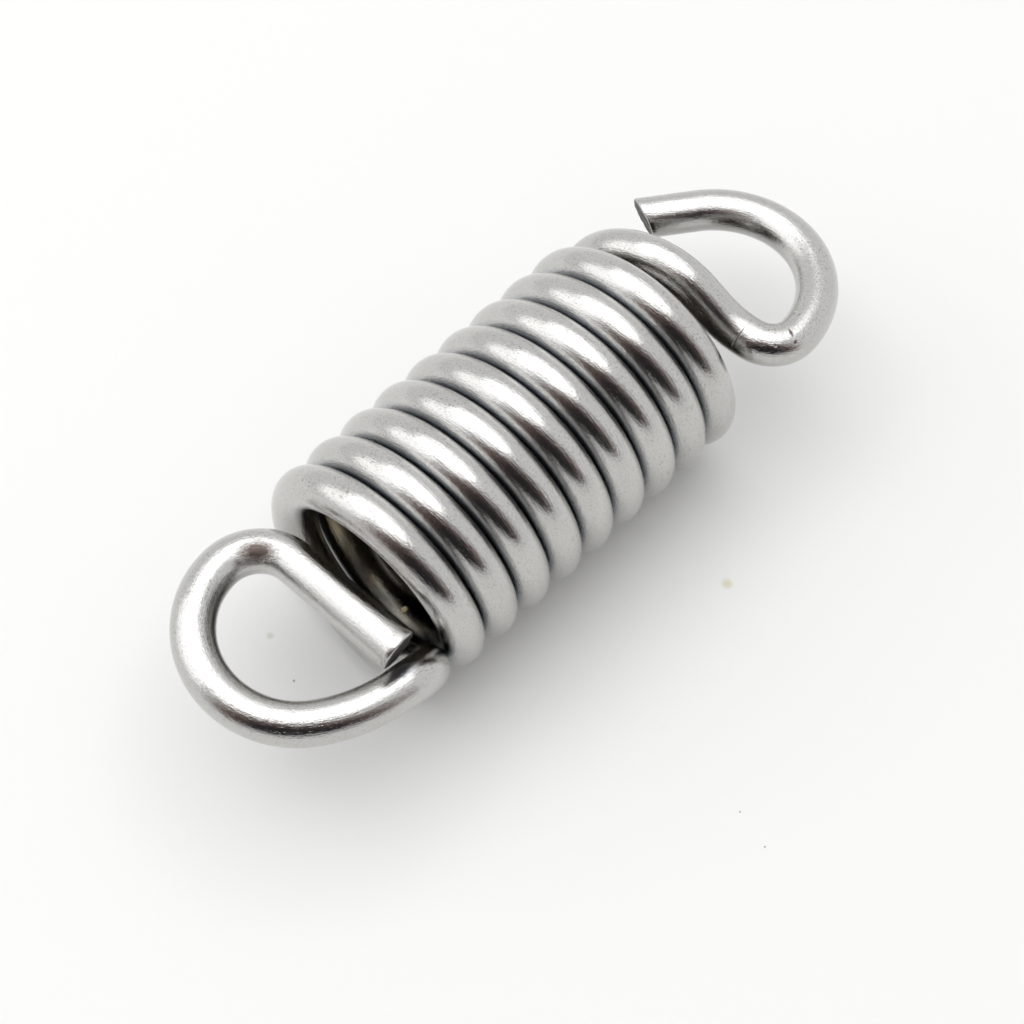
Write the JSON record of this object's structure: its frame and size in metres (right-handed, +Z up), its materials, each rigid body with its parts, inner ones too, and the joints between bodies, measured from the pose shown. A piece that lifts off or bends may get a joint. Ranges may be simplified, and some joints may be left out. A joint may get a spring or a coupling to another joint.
{
  "type": "extension spring",
  "caption": "Close-wound round-wire extension spring with a D-shaped closed loop at one end and an open hook at the other.",
  "frame": {"origin": "centre of the bounding box's footprint, on the surface the spring lies on", "axes": "+X along the coil's axis, from the closed loop to the open hook; +Y across the coil, to the side of the hook's cut end; +Z up"},
  "size_m": [0.0466, 0.0154, 0.0147],
  "materials": {
    "spring_steel": "bright drawn spring wire, slightly dulled, with fine drawing lines and small dark pits"
  },
  "bodies": {
    "root": {"spring_wire": "spring_steel"}
  },
  "joints": []
}
